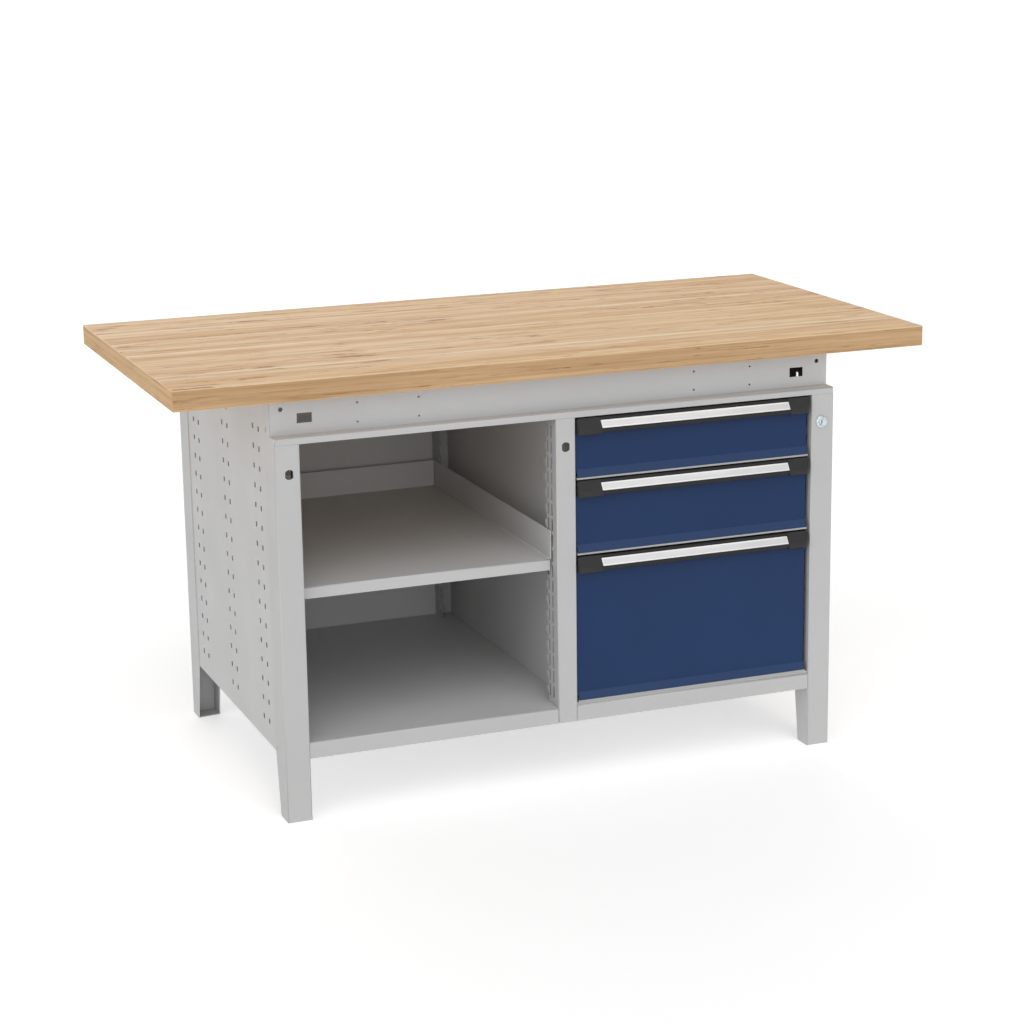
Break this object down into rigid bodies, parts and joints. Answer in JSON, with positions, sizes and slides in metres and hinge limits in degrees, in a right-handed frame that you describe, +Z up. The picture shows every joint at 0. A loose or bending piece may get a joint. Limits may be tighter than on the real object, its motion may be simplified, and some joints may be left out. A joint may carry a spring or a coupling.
{
  "type": "workbench with drawers and an open bay",
  "caption": "Steel workbench with a thick timber top, perforated side panels, an open bay with a hung shelf and a bank of drawers with full-width pulls and a lock.",
  "frame": {"origin": "on the floor, under the middle of the worktop", "axes": "+X to the right along the worktop, front faces -Y, +Z up"},
  "size_m": [1.52, 0.75, 0.85],
  "materials": {
    "grey_paint": "light grey powder coat, fine orange peel",
    "grey_inner": "light grey powder coat, matt",
    "blue_paint": "dark blue powder coat, satin",
    "black_plastic": "fine moulded grain",
    "black_aluminium": "black anodised extrusion",
    "label_strip": "blank white label under a clear strip",
    "zinc_steel": "bright zinc plate",
    "lock_chrome": "satin nickel",
    "timber": "edge-glued staves, clear oil"
  },
  "bodies": {
    "frame": {"worktop": "timber", "left_side_panel": "grey_paint", "right_side_panel": "grey_paint", "back_panel_left": "grey_inner", "back_panel_right": "grey_inner", "leg_front_left": "grey_paint", "leg_front_right": "grey_paint", "leg_rear_left": "grey_paint", "leg_rear_right": "grey_paint", "front_top_rail": "grey_paint", "rear_top_rail": "grey_paint", "left_top_bearer": "grey_paint", "right_top_bearer": "grey_paint", "floor_pan_left": "grey_paint", "floor_pan_right": "grey_paint", "centre_post_front": "grey_paint", "centre_post_rear": "grey_paint", "partition_panel": "grey_inner", "lock_housing": "lock_chrome", "shelf": "grey_paint", "shelf_clip_front_left": "zinc_steel", "shelf_clip_front_right": "zinc_steel", "shelf_clip_rear_left": "zinc_steel", "shelf_clip_rear_right": "zinc_steel", "drawer_1_rail_left": "zinc_steel", "drawer_1_rail_right": "zinc_steel", "drawer_2_rail_left": "zinc_steel", "drawer_2_rail_right": "zinc_steel", "drawer_3_rail_left": "zinc_steel", "drawer_3_rail_right": "zinc_steel"},
    "drawer_1": {"drawer_1_front": "blue_paint", "drawer_1_box": "grey_inner", "drawer_1_pull": "black_aluminium", "drawer_1_label_strip": "label_strip", "drawer_1_cap_left": "black_plastic", "drawer_1_cap_right": "black_plastic", "drawer_1_runner_left": "zinc_steel", "drawer_1_runner_right": "zinc_steel", "drawer_1_catch": "zinc_steel"},
    "drawer_2": {"drawer_2_front": "blue_paint", "drawer_2_box": "grey_inner", "drawer_2_pull": "black_aluminium", "drawer_2_label_strip": "label_strip", "drawer_2_cap_left": "black_plastic", "drawer_2_cap_right": "black_plastic", "drawer_2_runner_left": "zinc_steel", "drawer_2_runner_right": "zinc_steel", "drawer_2_catch": "zinc_steel"},
    "drawer_3": {"drawer_3_front": "blue_paint", "drawer_3_box": "grey_inner", "drawer_3_pull": "black_aluminium", "drawer_3_label_strip": "label_strip", "drawer_3_cap_left": "black_plastic", "drawer_3_cap_right": "black_plastic", "drawer_3_runner_left": "zinc_steel", "drawer_3_runner_right": "zinc_steel", "drawer_3_catch": "zinc_steel"},
    "lock": {"lock_plug": "lock_chrome", "lock_cam": "lock_chrome"},
    "locking_bar": {"locking_bar": "zinc_steel"}
  },
  "joints": [
    {"name": "drawer_1_slide", "type": "slide", "parent": "frame", "child": "drawer_1", "axis": [0, -1, 0], "range_m": [0, 0.45]},
    {"name": "drawer_2_slide", "type": "slide", "parent": "frame", "child": "drawer_2", "axis": [0, -1, 0], "range_m": [0, 0.45]},
    {"name": "drawer_3_slide", "type": "slide", "parent": "frame", "child": "drawer_3", "axis": [0, -1, 0], "range_m": [0, 0.45]},
    {"name": "lock_turn", "type": "hinge", "parent": "frame", "child": "lock", "pos_m": [0.545, -0.345, 0.672], "axis": [0, -1, 0], "range_deg": [0, 90]},
    {"name": "locking_bar_lift", "type": "slide", "parent": "frame", "child": "locking_bar", "axis": [0, 0, 1], "range_m": [0, 0.0121]}
  ],
  "couplings": [
    {"joint": "lock_turn", "follows": "locking_bar_lift", "rad_per_m": 129.82}
  ]
}
